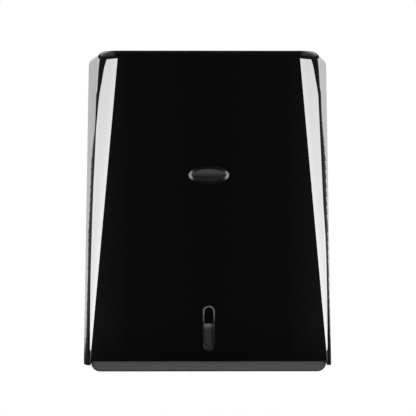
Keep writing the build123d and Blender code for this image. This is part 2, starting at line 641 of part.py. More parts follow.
# ================================================================== towel guides
guide_floor = level(guide_foot_rise)
guide_top = level(HEIGHT - GUIDE_TOP_GAP)
towel_guides = {}
for side, name in ((-1, "guide_left"), (1, "guide_right")):
    with BuildPart() as towel_guide:
        # Upright panel beside the towel stack; its front edge leans back towards the top.
        with BuildSketch(Plane.YZ.offset(side * guide_inner)) as panel:
            with BuildLine():
                Polyline(
                    (guide_foot_back_y, guide_floor), (guide_low_y, guide_floor),
                    (guide_low_y, level(TRAY_RIM_RISE)), (guide_low_y + GUIDE_RAKE, guide_top),
                    (guide_foot_back_y, guide_top), close=True,
                )
            make_face()
            fillet(panel.vertices().group_by(Axis.Y)[-1].sort_by(Axis.X)[0], radius=GUIDE_TOP_R)
        extrude(amount=side * GUIDE_T)
        # Foot along the back plate, under the stack's back corner.
        foot_rise = flange_start_rise
        with Locations((side * guide_inner, guide_foot_back_y, level(foot_rise))):
            Box(
                2 * GUIDE_FOOT_WIDTH, GUIDE_FOOT_T, guide_top - level(foot_rise),
                align=(Align.CENTER, Align.MAX, Align.MIN),
            )
        with Locations((side * (guide_inner + GUIDE_T), 0, 0)):
            Box(
                2 * GUIDE_FOOT_WIDTH, 2 * DEPTH, 2 * HEIGHT,
                align=(Align.MIN if side > 0 else Align.MAX, Align.CENTER, Align.CENTER),
                mode=Mode.SUBTRACT,
            )
        # Bosses that reach the tray's side wall.
        for x, y, z in tray_screws_at:
            if x * side > 0:
                rod((side * guide_inner, y, z), (side, 0, 0), TRAY_BOSS_R, tray_inside_half - guide_inner)
                rod((x, y, z), (-side, 0, 0), pilot_r, tray_half - guide_inner, Mode.SUBTRACT)
        for x, y, z in guide_screws_at:
            if x * side > 0:
                rod((x, y, z), into_wall, pilot_r, GUIDE_FOOT_T, Mode.SUBTRACT)
    towel_guide.part.label = name
    towel_guides[name] = towel_guide.part

with BuildPart() as guide_screws:
    with Locations(*[Plane(origin=seat, z_dir=(0, -1, 0)) for seat in guide_screws_at]):
        add(screw(SCREW_R, SCREW_LENGTH, SCREW_HEAD_R, SCREW_HEAD_T))
guide_screws.part.label = "guide_screws"

# ================================================================== towel tray
throat_y = (RIB_FRONT_Y + tray_inside_y) / 2
with BuildPart() as tray_hollow:
    with BuildSketch(at_front(tray_inside_y)) as hollow:
        with Locations((0, level(tray_floor_rise + TRAY_RIM_RISE / 2))):
            Rectangle(2 * tray_inside_half, TRAY_RIM_RISE)
        fillet(hollow.vertices().group_by(Axis.Y)[0], radius=tray_inside_r)
    extrude(amount=tray_inside_y)

# Raised guard in the middle of the tray's front wall, behind the sight window.
with BuildPart() as tray_guard:
    with BuildSketch(at_front(tray_front_y)) as guard:
        with Locations((0, level((TRAY_RIM_RISE / 2 + GUARD_RISE) / 2))):
            Rectangle(GUARD_WIDTH, GUARD_RISE - TRAY_RIM_RISE / 2)
        fillet(guard.vertices().group_by(Axis.Y)[-1], radius=GUARD_R)
    extrude(amount=-TRAY_WALL)
    fillet(
        tray_guard.faces().sort_by(Axis.Y)[0].edges().sort_by(Axis.Z)[1:], radius=GUARD_EDGE_R
    )

with BuildPart() as towel_tray:
    with BuildSketch(at_front(tray_front_y)) as front_shape:
        with Locations((0, level((TRAY_RIM_RISE - TRAY_DROP) / 2))):
            Rectangle(2 * tray_half, TRAY_RIM_RISE + TRAY_DROP)
        fillet(front_shape.vertices().group_by(Axis.Y)[0], radius=TRAY_CORNER_R)
    extrude(amount=tray_front_y - tray_back_y)
    rim_face = towel_tray.faces().sort_by(Axis.Y)[0]
    fillet(rim_face.edges().sort_by(Axis.Z)[:-1], radius=TRAY_EDGE_R)
    add(tray_guard.part)
    add(tray_hollow.part, mode=Mode.SUBTRACT)
    # Low runners on both sides of the throat let the towels slide forward.
    runner_length = tray_notch_y - tray_inside_y - RUNNER_MARGIN
    for side in (-1, 1):
        for index in range(RUNNER_COUNT):
            x = side * (THROAT_WIDTH / 2 + RUNNER_MARGIN + index * RUNNER_PITCH)
            with Locations((x, tray_inside_y + RUNNER_MARGIN, level(tray_floor_rise))):
                Box(
                    RUNNER_T, runner_length, RUNNER_HEIGHT,
                    align=(Align.CENTER, Align.MIN, Align.MIN),
                )
    # Throat through the floor, with rounded lips.
    with BuildSketch(Plane.XY.offset(level(-TRAY_DROP))):
        with Locations((0, throat_y)):
            RectangleRounded(THROAT_WIDTH, THROAT_DEPTH, THROAT_R)
    extrude(amount=2 * TRAY_WALL, mode=Mode.SUBTRACT)
    throat_edges = towel_tray.edges().filter_by(
        lambda e: abs(e.center().X) <= THROAT_WIDTH / 2
        and abs(e.center().Y - throat_y) <= THROAT_DEPTH / 2 + EDGE_NEAR
        and e.center().Z < level(tray_floor_rise + EDGE_NEAR)
        and abs(e.tangent_at(0).Z) < EDGE_NEAR
    )
    fillet(throat_edges, radius=THROAT_LIP_R)
    # Back corners stand clear of the hinges.
    for side in (-1, 1):
        with Locations((side * (tray_half - TRAY_NOTCH_WIDTH), tray_notch_y, level(TRAY_RIM_RISE))):
            Box(
                DEPTH, DEPTH, DEPTH,
                align=(Align.MIN if side > 0 else Align.MAX, Align.MIN, Align.CENTER),
                mode=Mode.SUBTRACT,
            )
    for x, y, z in tray_screws_at:
        inwards = (-1 if x > 0 else 1, 0, 0)
        rod((x, y, z), inwards, pilot_r, TRAY_WALL, Mode.SUBTRACT)
towel_tray.part.label = "towel_tray"

with BuildPart() as tray_screws:
    seats = [Plane(origin=seat, z_dir=(1 if seat[0] > 0 else -1, 0, 0)) for seat in tray_screws_at]
    with Locations(*seats):
        add(screw(SCREW_R, SCREW_LENGTH, SCREW_HEAD_R, SCREW_HEAD_T))
tray_screws.part.label = "tray_screws"

# ================================================================== lock keeper
def strap_corners(strap, *corners):
    """The sketch's vertices nearest to the given corners."""
    return [strap.vertices().sort_by_distance((*corner, 0))[0] for corner in corners]


arm = level(keeper_arm_rise)
tab_top = level(cam_top_rise + KEEPER_TAB_RISE)
foot_end = arm - KEEPER_FOOT
with BuildPart() as lock_keeper:
    with BuildSketch(Plane.YZ.offset(keeper_near)) as strap:
        with BuildLine():
            Polyline(
                (keeper_foot_y, foot_end), (keeper_foot_y, arm), (keeper_tab_y, arm),
                (keeper_tab_y, tab_top), (keeper_tab_y - KEEPER_T, tab_top),
                (keeper_tab_y - KEEPER_T, arm - KEEPER_T), (keeper_foot_y - KEEPER_T, arm - KEEPER_T),
                (keeper_foot_y - KEEPER_T, foot_end), close=True,
            )
        make_face()
        # In this sketch local x is Y and local y is Z.
        outer_bends = strap_corners(strap, (keeper_foot_y, arm), (keeper_tab_y - KEEPER_T, arm - KEEPER_T))
        fillet(outer_bends, radius=KEEPER_BEND_R)
        inner_bends = strap_corners(strap, (keeper_foot_y - KEEPER_T, arm - KEEPER_T), (keeper_tab_y, arm))
        fillet(inner_bends, radius=KEEPER_BEND_R - KEEPER_T)
    extrude(amount=KEEPER_WIDTH)
    for x, y, z in keeper_screws_at:
        rod((x, y, z), into_wall, pilot_r, KEEPER_T, Mode.SUBTRACT)
lock_keeper.part.label = "lock_keeper"

with BuildPart() as keeper_screws:
    with Locations(*[Plane(origin=seat, z_dir=(0, -1, 0)) for seat in keeper_screws_at]):
        add(screw(SCREW_R, SCREW_LENGTH, SCREW_HEAD_R, SCREW_HEAD_T))
keeper_screws.part.label = "keeper_screws"

# ================================================================== files
builders = [
    front_cover, badge_plate, window_bezel, sight_window, window_clips, lock_barrel, lock_washer,
    lock_nut, lock_cylinder, lock_cam, cam_screw, back_plate, towel_tray, tray_screws, guide_screws,
    lock_keeper, keeper_screws,
]
pieces = [builder.part for builder in builders]
pieces += [*hinge_pins.values(), *towel_guides.values()]
os.makedirs("parts", exist_ok=True)
for piece in pieces:
    export_step(piece, f"parts/{piece.label}.step")
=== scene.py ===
from math import asin, atan, atan2, cos, pi, radians, sin, sqrt, tan

import bmesh
import bpy
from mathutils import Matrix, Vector


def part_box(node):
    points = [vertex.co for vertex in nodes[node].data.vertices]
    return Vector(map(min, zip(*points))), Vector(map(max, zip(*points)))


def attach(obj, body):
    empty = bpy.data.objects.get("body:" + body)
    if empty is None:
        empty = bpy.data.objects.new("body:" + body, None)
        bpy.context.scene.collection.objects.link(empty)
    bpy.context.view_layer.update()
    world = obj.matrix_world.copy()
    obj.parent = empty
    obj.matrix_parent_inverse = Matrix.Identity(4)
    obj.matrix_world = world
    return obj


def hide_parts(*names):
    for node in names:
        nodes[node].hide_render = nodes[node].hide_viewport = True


# Wall-hung paper towel dispenser: a gloss black cover with a sight window, a bare oval badge and a
# cam lock in its top, over a charcoal tray, a back plate and two towel guides.
# Metres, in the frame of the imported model: X to the right, +Y into the wall, Z up.
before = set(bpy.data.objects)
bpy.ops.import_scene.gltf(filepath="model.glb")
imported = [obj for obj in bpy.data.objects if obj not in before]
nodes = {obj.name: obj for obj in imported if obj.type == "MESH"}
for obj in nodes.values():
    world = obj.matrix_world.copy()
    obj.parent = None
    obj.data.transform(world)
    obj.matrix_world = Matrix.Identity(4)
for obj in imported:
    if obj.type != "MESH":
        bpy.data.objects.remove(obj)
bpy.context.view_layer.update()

MM = 0.001

# ------------------------------------------------------------------ cover
BASE_WIDTH = 288.4 * MM         # back edge at the bottom plane
TOP_DRAW_IN = 6.0 * MM          # back edge's step inwards from bottom to top, each side
FRONT_DRAW_BASE = 8.7 * MM      # front corners inside the back edge, at the bottom
FRONT_DRAW_TOP = 17.1 * MM      # the same at the top
CORNER_R_BASE = 3.2 * MM
CORNER_R_TOP = 24.0 * MM
TOP_EDGE_R = 9.0 * MM
WALL = 2.5 * MM
SKIRT_CORNER_RISE = 6.7 * MM
FRONT_EDGE_RISE = 10.9 * MM
NOTCH_HALF = 130.8 * MM
NOTCH_R = 3.5 * MM
EAR_R = 14.0 * MM
RIM_R = 0.25 * MM               # rounding of the moulding's open edges
CORNER_STEPS = 14
TOP_EDGE_STEPS = 10
EAR_STEPS = 20
NOTCH_STEPS = 8
HEIGHT_CUTS = 34                # rows of faces between the bottom and top sections
RIM_STEPS = 2
RIM_TURN = 50.0                 # degrees; open edges that turn more than this are rounded
BOSS_FACE_X = 134.0 * MM        # hinge bosses inside the ears
BOSS_R = 6.0 * MM
BOSS_BORE_R = 2.05 * MM
BOSS_BORE_DEPTH = 6.35 * MM
BOSS_REACH = 7.75 * MM          # into the cover's wall
PAST = 30.0 * MM                # cutters reach this far past the wall
HAIR = 0.01 * MM                # keeps a cutter off a face that it would only touch

# ------------------------------------------------------------------ sight window
WINDOW_RISE = 46.8 * MM
BEZEL_WIDTH = 12.9 * MM
BEZEL_HEIGHT = 51.3 * MM
BEZEL_RIM = 1.55 * MM
BEZEL_EDGE_R = 0.15 * MM
BEZEL_EDGE_STEPS = 4
BEZEL_PROUD = 0.7 * MM
SLEEVE_T = 0.8 * MM
SLEEVE_GAP = 0.1 * MM
PILL_STEPS = 20
STUD_X = 11.95 * MM             # studs that hold the lens plate, from the window's centre
STUD_Z = 31.15 * MM
STUD_R = 1.2 * MM
STUD_LENGTH = 2.6 * MM
STUD_STEPS = 24

# ------------------------------------------------------------------ badge
BADGE_RIM = 3.2 * MM
BADGE_EDGE_R = 0.25 * MM
BADGE_SLOPE = 0.2 * MM          # rim's outer edge below its inner edge
BADGE_STEP = 0.12 * MM          # field below the rim
BADGE_CROWN = 0.05 * MM         # field's middle above its edge
BADGE_EDGE_STEPS = 5
BADGE_STEPS = 96
CROWN_RINGS = 8

# ------------------------------------------------------------------ lock
BARREL_HOLE_R = 8.1 * MM
LOCK_Y = -50.0 * MM

# ------------------------------------------------------------------ making of the pieces
ROUND_STEPS = 48                # sides of a round hole, boss or bore
SAME = 0.05 * MM                # places closer than this count as one
CREASE_TURN = 0.8               # radians between the two faces of a sharp edge
SMOOTH_TURN = 30.0              # degrees; edges that turn more stay sharp
SMOOTH_WEIGHT = 80              # how far the larger faces rule the shading of a corner

cover_low, cover_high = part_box("front_cover")
BASE_Z = cover_low.z
TOP_Z = cover_high.z
FRONT_Y = cover_low.y
BACK_Y = cover_high.y
HEIGHT = TOP_Z - BASE_Z
COVER_DEPTH = BACK_Y - FRONT_Y
HINGE_Y = BACK_Y - EAR_R
HINGE_Z = BASE_Z + EAR_R
WINDOW_Z = BASE_Z + WINDOW_RISE


# ================================================================== tools for making pieces
def alone(piece):
    """Leaves one object selected and active."""
    bpy.ops.object.select_all(action="DESELECT")
    piece.select_set(True)
    bpy.context.view_layer.objects.active = piece


def settle(piece, name):
    """Names a new primitive and applies its place, so that its object sits at the origin."""
    alone(piece)
    piece.name = name
    bpy.ops.object.transform_apply(location=True, rotation=True, scale=True)
    return piece


def plane(name, centre, width, depth):
    bpy.ops.mesh.primitive_plane_add(size=1, location=centre)
    piece = bpy.context.object
    piece.scale = (width, depth, 1)
    return settle(piece, name)


def block(name, low, high):
    low, high = Vector(low), Vector(high)
    bpy.ops.mesh.primitive_cube_add(size=1, location=(low + high) / 2)
    piece = bpy.context.object
    piece.scale = high - low
    return settle(piece, name)


def disc_block(name, centre, radius, length, axis, steps=ROUND_STEPS):
    turns = {"X": (0, pi / 2, 0), "Y": (pi / 2, 0, 0), "Z": (0, 0, 0)}
    bpy.ops.mesh.primitive_cylinder_add(
        vertices=steps, radius=radius, depth=length, location=centre, rotation=turns[axis]
    )
    return settle(bpy.context.object, name)


def edit(piece):
    alone(piece)
    bpy.ops.object.mode_set(mode="EDIT")


def done():
    bpy.ops.object.mode_set(mode="OBJECT")


def pick(kind, wanted):
    """In edit mode, selects the verts, edges or faces that the test wants, and nothing else."""
    modes = {"verts": "VERT", "edges": "EDGE", "faces": "FACE"}
    bpy.ops.mesh.select_mode(type=modes[kind])
    bpy.ops.mesh.select_all(action="DESELECT")
    mesh = bpy.context.edit_object.data
    shape = bmesh.from_edit_mesh(mesh)
    for element in getattr(shape, kind):
        if wanted(element):
            element.select_set(True)
    bmesh.update_edit_mesh(mesh)


def near(a, b, within=SAME):
    return abs(a - b) < within


def along(edge, axis):
    """True for an edge that runs along one axis."""
    a, b = (v.co for v in edge.verts)
    return all(near(a[i], b[i]) for i in range(3) if i != axis)


def crease(edge):
    """True for an edge whose two faces turn sharply."""
    return len(edge.link_faces) == 2 and edge.calc_face_angle() > CREASE_TURN


def round_edges(offset, segments):
    bpy.ops.mesh.bevel(
        affect="EDGES", offset_type="OFFSET", offset=offset, segments=segments, profile=0.5,
        clamp_overlap=False,
    )


def apply_modifier(piece, kind, **values):
    alone(piece)
    modifier = piece.modifiers.new(kind.lower(), kind)
    for name, value in values.items():
        setattr(modifier, name, value)
    bpy.ops.object.modifier_apply(modifier=modifier.name)


def combine(piece, other, operation):
    """Cuts, joins or trims one piece with another, which is then removed."""
    apply_modifier(piece, "BOOLEAN", object=other, operation=operation, solver="EXACT")
    bpy.data.objects.remove(other)


def together(pieces):
    """Joins separate blocks into one object."""
    alone(pieces[0])
    for piece in pieces:
        piece.select_set(True)
    bpy.ops.object.join()
    return pieces[0]


def pill(name, width, height, front_y, back_y):
    """Upright prism with round ends, on the window's centre."""
    body = block(
        name, (-width / 2, front_y, WINDOW_Z - height / 2), (width / 2, back_y, WINDOW_Z + height / 2)
    )
    edit(body)
    pick("edges", lambda e: along(e, 1))
    round_edges(width / 2 - HAIR, PILL_STEPS)
    done()
    return body


def finish_shading(piece):
    """Smooth shading that keeps flat faces flat and breaks at the sharp edges."""
    alone(piece)
    bpy.ops.object.shade_smooth_by_angle(angle=radians(SMOOTH_TURN))
    apply_modifier(piece, "WEIGHTED_NORMAL", mode="FACE_AREA", weight=SMOOTH_WEIGHT, keep_sharp=True)


def dress(piece, body, slot, replaced, *materials):
    """Gives a finished piece its materials and its body, and hides the node that it stands for. Its slot is
    not used.
    """
    held = piece.data.materials
    while len(held) < len(materials):
        held.append(None)
    for index, material in enumerate(materials):
        held[index] = material
    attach(piece, body)
    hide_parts(replaced)


# ================================================================== front cover
def draw_in(rise):
    """How far the front corners stand inside the back edge, at one height."""
    return FRONT_DRAW_BASE + (FRONT_DRAW_TOP - FRONT_DRAW_BASE) * rise / HEIGHT


def cover_plan(rise, corner_r):
    """Plan section of the cover at one height, with rounded front corners."""
    back_half = BASE_WIDTH / 2 - TOP_DRAW_IN * rise / HEIGHT
    front_half = back_half - draw_in(rise)
    side_turn = atan(draw_in(rise) / COVER_DEPTH)
    z = BASE_Z + rise
    section = plane("section", (0, (FRONT_Y + BACK_Y) / 2, z), 2 * back_half, COVER_DEPTH)
    edit(section)
    pick("verts", lambda v: near(v.co.y, FRONT_Y))
    bpy.ops.transform.resize(value=(front_half / back_half, 1, 1), center_override=(0, FRONT_Y, z))
    bpy.ops.mesh.bevel(
        affect="VERTICES", offset_type="OFFSET", offset=corner_r * tan((pi / 2 - side_turn) / 2),
        segments=CORNER_STEPS, profile=0.5,
    )
    done()
    return section


def make_cover_shell():
    """Open-backed shell between the bottom and top sections, rounded at the top, with its wall."""
    low = cover_plan(0, CORNER_R_BASE)
    shell = cover_plan(HEIGHT, CORNER_R_TOP)
    low.select_set(True)
    bpy.context.view_layer.objects.active = shell
    bpy.ops.object.join()
    shell.name = "cover_moulding"
    edit(shell)
    pick("faces", lambda f: True)
    bpy.ops.mesh.delete(type="ONLY_FACE")
    pick("edges", lambda e: True)
    bpy.ops.mesh.bridge_edge_loops(type="SINGLE", number_cuts=HEIGHT_CUTS, interpolation="LINEAR")
    pick("edges", lambda e: all(near(v.co.z, TOP_Z) for v in e.verts))
    bpy.ops.mesh.edge_face_add()
    pick("faces", lambda f: True)
    bpy.ops.mesh.normals_make_consistent(inside=False)
    pick("faces", lambda f: all(near(v.co.y, BACK_Y) for v in f.verts))
    bpy.ops.mesh.delete(type="FACE")
    pick("edges", lambda e: all(near(v.co.z, TOP_Z) for v in e.verts)
         and not all(near(v.co.y, BACK_Y) for v in e.verts))
    round_edges(TOP_EDGE_R, TOP_EDGE_STEPS)
    done()
    for name in ("outside", "inside"):
        shell.data.materials.append(bpy.data.materials.new(name))
    apply_modifier(
        shell, "SOLIDIFY", thickness=WALL, offset=-1, use_even_offset=True, material_offset=1
    )
    return shell


def skirt_outline():
    """Side outline that trims the shell: a slanted lower edge that rounds into the back edge."""
    run = HINGE_Y - FRONT_Y
    drop = EAR_R - SKIRT_CORNER_RISE
    slant = atan2(drop, run) - asin(EAR_R / sqrt(drop**2 + run**2))
    outline = block(
        "skirt_outline", (-BASE_WIDTH, FRONT_Y - PAST, BASE_Z), (BASE_WIDTH, BACK_Y - HAIR, TOP_Z + PAST)
    )
    edit(outline)
    for y in (FRONT_Y - PAST, BACK_Y - HAIR):
        pick("verts", lambda v: near(v.co.y, y) and near(v.co.z, BASE_Z))
        rise = SKIRT_CORNER_RISE + (y - FRONT_Y) * tan(slant)
        bpy.ops.transform.translate(value=(0, 0, rise))
    pick("edges", lambda e: all(near(v.co.y, BACK_Y) and v.co.z < 0 for v in e.verts))
    round_edges(EAR_R * tan((pi / 2 + slant) / 2), EAR_STEPS)
    done()
    return outline


def raised_edge():
    """Cutter under the front's lower edge, which is raised between the two corners."""
    top = BASE_Z + FRONT_EDGE_RISE
    cutter = block(
        "raised_edge", (-NOTCH_HALF, FRONT_Y - PAST, BASE_Z - PAST), (NOTCH_HALF, FRONT_Y + 2 * WALL, top)
    )
    edit(cutter)
    pick("edges", lambda e: along(e, 1) and near(e.verts[0].co.z, top))
    round_edges(NOTCH_R, NOTCH_STEPS)
    done()
    return cutter


def hinge_cylinders(name, radius, start, length):
    """A pair of cylinders on the hinge axis, from an inner end outwards."""
    return together([
        disc_block(name, (side * (start + length / 2), HINGE_Y, HINGE_Z), radius, length, "X")
        for side in (-1, 1)
    ])


def make_cover():
    """The cover: trimmed shell, its openings, hinge bosses with bores and lens studs."""
    shell = make_cover_shell()
    combine(shell, skirt_outline(), "INTERSECT")
    combine(shell, raised_edge(), "DIFFERENCE")
    opening = 2 * (SLEEVE_T + SLEEVE_GAP - BEZEL_RIM)
    slot = pill("slot", BEZEL_WIDTH + opening, BEZEL_HEIGHT + opening, FRONT_Y - PAST, FRONT_Y + PAST)
    combine(shell, slot, "DIFFERENCE")
    hole = disc_block("hole", (0, LOCK_Y, TOP_Z), BARREL_HOLE_R, PAST, "Z")
    combine(shell, hole, "DIFFERENCE")
    apply_modifier(
        shell, "BEVEL", width=RIM_R, segments=RIM_STEPS, limit_method="ANGLE",
        angle_limit=radians(RIM_TURN), use_clamp_overlap=False,
    )
    combine(shell, hinge_cylinders("bosses", BOSS_R, BOSS_FACE_X, BOSS_REACH), "UNION")
    bores = hinge_cylinders("bores", BOSS_BORE_R, BOSS_FACE_X - BOSS_R, BOSS_BORE_DEPTH + BOSS_R)
    combine(shell, bores, "DIFFERENCE")
    inside_y = FRONT_Y + WALL
    studs = together([
        disc_block("stud", (x, inside_y + (STUD_LENGTH - RIM_R) / 2, WINDOW_Z + z), STUD_R,
                   STUD_LENGTH + RIM_R, "Y", STUD_STEPS)
        for x in (-STUD_X, STUD_X) for z in (-STUD_Z, STUD_Z)
    ])
    combine(shell, studs, "UNION")
    finish_shading(shell)
    return shell


# ================================================================== window bezel and badge
def make_bezel():
    """Pill-shaped ring on the front, with a sleeve through the cover's wall."""
    face_y = FRONT_Y - BEZEL_PROUD
    opening_width = BEZEL_WIDTH - 2 * BEZEL_RIM
    opening_height = BEZEL_HEIGHT - 2 * BEZEL_RIM
    ring = pill("window_ring", BEZEL_WIDTH, BEZEL_HEIGHT, face_y, FRONT_Y)
    sleeve = pill(
        "sleeve", opening_width + 2 * SLEEVE_T, opening_height + 2 * SLEEVE_T,
        (face_y + FRONT_Y) / 2, FRONT_Y + WALL,
    )
    combine(ring, sleeve, "UNION")
    opening = pill("opening", opening_width, opening_height, FRONT_Y - PAST, FRONT_Y + PAST)
    combine(ring, opening, "DIFFERENCE")
    edit(ring)
    pick("edges", lambda e: all(near(v.co.y, face_y) for v in e.verts) and crease(e))
    round_edges(BEZEL_EDGE_R, BEZEL_EDGE_STEPS)
    done()
    finish_shading(ring)
    return ring


def make_badge():
    """Oval plate with a gently sloping rim around a slightly crowned bare field."""
    low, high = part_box("badge_plate")
    centre = (low + high) / 2
    centre.y += BADGE_SLOPE / 2
    edge_y = low.y + BADGE_SLOPE
    plate = disc_block("badge_oval", centre, (high.z - low.z) / 2, high.y - edge_y, "Y", BADGE_STEPS)
    for name in ("rim", "field"):
        plate.data.materials.append(bpy.data.materials.new(name))
    edit(plate)
    pick("verts", lambda v: True)
    stretch = (high.x - low.x) / (high.z - low.z)
    bpy.ops.transform.resize(value=(stretch, 1, 1), center_override=centre)
    pick("edges", lambda e: all(near(v.co.y, edge_y) for v in e.verts))
    round_edges(BADGE_EDGE_R, BADGE_EDGE_STEPS)
    pick("faces", lambda f: all(near(v.co.y, edge_y, HAIR) for v in f.verts))
    bpy.ops.mesh.inset(thickness=BADGE_RIM - BADGE_EDGE_R)
    bpy.ops.transform.translate(value=(0, -BADGE_SLOPE, 0))
    bpy.ops.mesh.inset(thickness=BADGE_STEP)
    bpy.ops.transform.translate(value=(0, BADGE_STEP, 0))
    kept = 1.0
    for index in range(1, CROWN_RINGS):
        left = 1 - index / CROWN_RINGS
        bpy.ops.mesh.extrude_region()
        bpy.ops.transform.resize(value=(left / kept, 1, left / kept), center_override=centre)
        bpy.ops.transform.translate(value=(0, -BADGE_CROWN * (kept ** 2 - left ** 2), 0))
        kept = left
    field_front = low.y + BADGE_STEP - BADGE_CROWN - HAIR
    field_back = low.y + BADGE_STEP + HAIR
    pick("faces", lambda f: all(field_front < v.co.y < field_back for v in f.verts))
    plate.active_material_index = 1
    bpy.ops.object.material_slot_assign()
    done()
    finish_shading(plate)
    return plate


# ================================================================== shared surface effects
def node(tree, kind, inputs=None, **settings):
    """A new shader node with its settings and its unlinked inputs set."""
    made = tree.nodes.new(kind)
    for name, value in settings.items():
        setattr(made, name, value)
    for name, value in (inputs or {}).items():
        made.inputs[name].default_value = value
    return made


def effect(name, inputs, outputs):
    """An empty node group with its sockets, and its two end nodes."""
    group = bpy.data.node_groups.new(name, "ShaderNodeTree")
    kinds = {"value": "NodeSocketFloat", "colour": "NodeSocketColor", "vector": "NodeSocketVector"}
    for label, kind, start in inputs:
        socket = group.interface.new_socket(label, in_out="INPUT", socket_type=kinds[kind])
        socket.default_value = start
    for label, kind in outputs:
        group.interface.new_socket(label, in_out="OUTPUT", socket_type=kinds[kind])
    return group, group.nodes.new("NodeGroupInput").outputs, group.nodes.new("NodeGroupOutput").inputs


def scaled_place(group, scale):
    """Object coordinates times a scale that may differ by axis."""
    place = node(group, "ShaderNodeTexCoord")
    times = node(group, "ShaderNodeVectorMath", operation="MULTIPLY")
    group.links.new(place.outputs["Object"], times.inputs[0])
    group.links.new(scale, times.inputs[1])
    return times.outputs[0]


def noise(group, vector, scale, detail=3.0, roughness=0.5):
    """Value of a noise pattern at a place."""
    made = node(group, "ShaderNodeTexNoise", {"Scale": scale, "Detail": detail, "Roughness": roughness})
    group.links.new(vector, made.inputs["Vector"])
    return made.outputs[0]


def spread(group, value, low, high, out_low=0.0, out_high=1.0):
    """Maps a value smoothly from one range to another."""
    made = node(group, "ShaderNodeMapRange", interpolation_type="SMOOTHSTEP")
    group.links.new(value, made.inputs["Value"])
    for label, number in (("From Min", low), ("From Max", high), ("To Min", out_low), ("To Max", out_high)):
        if isinstance(number, bpy.types.NodeSocket):
            group.links.new(number, made.inputs[label])
        else:
            made.inputs[label].default_value = number
    return made.outputs[0]


def maths(group, operation, first, second, third=0.0):
    """Result of a sum of two or three values, each a socket or a number."""
    made = node(group, "ShaderNodeMath", operation=operation)
    for socket, value in zip(made.inputs, (first, second, third)):
        if isinstance(value, bpy.types.NodeSocket):
            group.links.new(value, socket)
        else:
            socket.default_value = value
    return made.outputs[0]


def blend_colours(group, mask, first, second):
    """The first colour where the mask is 0 and the second where it is 1."""
    made = node(group, "ShaderNodeMix", data_type="RGBA")
    for socket, value in ((made.inputs[0], mask), (made.inputs[6], first), (made.inputs[7], second)):
        if isinstance(value, bpy.types.NodeSocket):
            group.links.new(value, socket)
        else:
            socket.default_value = value
    return made.outputs[2]


def handling_effect():
    """Wiped smudges and hairline scratches of a polished moulding, as roughness."""
    group, given, made = effect(
        "handling",
        [("Clean", "value", 0.02), ("Smudged", "value", 0.06), ("Scale", "value", 9.0)],
        [("Roughness", "value"), ("Scratches", "value")],
    )
    place = node(group, "ShaderNodeTexCoord").outputs["Object"]
    smudge = node(group, "ShaderNodeTexNoise", {"Detail": 5.0, "Roughness": 0.62, "Distortion": 0.6})
    group.links.new(place, smudge.inputs["Vector"])
    group.links.new(given["Scale"], smudge.inputs["Scale"])
    wiped = spread(group, smudge.outputs[0], 0.5, 0.78)
    turned = node(group, "ShaderNodeMapping", {"Rotation": (0.0, 0.5, 0.0), "Scale": (900.0, 900.0, 14.0)})
    group.links.new(place, turned.inputs["Vector"])
    lines = spread(group, noise(group, turned.outputs[0], scale=1.0, detail=2.0), 0.7, 0.8)
    patches = spread(group, noise(group, place, scale=14.0, detail=2.0), 0.52, 0.64)
    scratches = maths(group, "MULTIPLY", lines, patches)
    amount = maths(group, "ADD", wiped, maths(group, "MULTIPLY", scratches, 0.6))
    group.links.new(spread(group, amount, 0.0, 1.6, given["Clean"], given["Smudged"]), made["Roughness"])
    group.links.new(scratches, made["Scratches"])
    return group


def grain_effect():
    """Fine spark-eroded grain of a matte moulding, as a height and a tone."""
    group, given, made = effect(
        "moulded_grain",
        [("Fineness", "value", 900.0), ("Depth", "value", 0.00004)],
        [("Height", "value"), ("Tone", "value")],
    )
    place = node(group, "ShaderNodeTexCoord").outputs["Object"]
    coarse = node(group, "ShaderNodeTexVoronoi", feature="SMOOTH_F1")
    group.links.new(place, coarse.inputs["Vector"])
    group.links.new(given["Fineness"], coarse.inputs["Scale"])
    fine = node(group, "ShaderNodeTexNoise", {"Detail": 2.0})
    group.links.new(place, fine.inputs["Vector"])
    group.links.new(maths(group, "MULTIPLY", given["Fineness"], 2.2), fine.inputs["Scale"])
    relief = maths(group, "MULTIPLY_ADD", fine.outputs[0], 0.6, coarse.outputs["Distance"])
    group.links.new(maths(group, "MULTIPLY", relief, given["Depth"]), made["Height"])
    group.links.new(spread(group, relief, 0.2, 1.1), made["Tone"])
    return group


def flow_effect():
    """Faint waviness of a polished moulding, as a height in metres."""
    group, given, made = effect(
        "flow_waves", [("Scale", "value", 26.0), ("Depth", "value", 0.00001)], [("Height", "value")]
    )
    place = node(group, "ShaderNodeTexCoord").outputs["Object"]
    wave = node(group, "ShaderNodeTexNoise", {"Detail": 1.0, "Roughness": 0.4})
    group.links.new(place, wave.inputs["Vector"])
    group.links.new(given["Scale"], wave.inputs["Scale"])
    group.links.new(maths(group, "MULTIPLY", wave.outputs[0], given["Depth"]), made["Height"])
    return group


def dust_effect():
    """Dust on faces that look upwards, as a mask."""
    group, given, made = effect("settled_dust", [("Amount", "value", 0.2)], [("Mask", "value")])
    place = node(group, "ShaderNodeTexCoord")
    split = node(group, "ShaderNodeSeparateXYZ")
    group.links.new(place.outputs["Normal"], split.inputs[0])
    upward = spread(group, split.outputs["Z"], 0.35, 0.95)
    fluff = noise(group, place.outputs["Object"], scale=60.0, detail=6.0, roughness=0.7)
    thick = maths(group, "MULTIPLY", upward, spread(group, fluff, 0.35, 0.75))
    group.links.new(maths(group, "MULTIPLY", thick, given["Amount"]), made["Mask"])
    return group


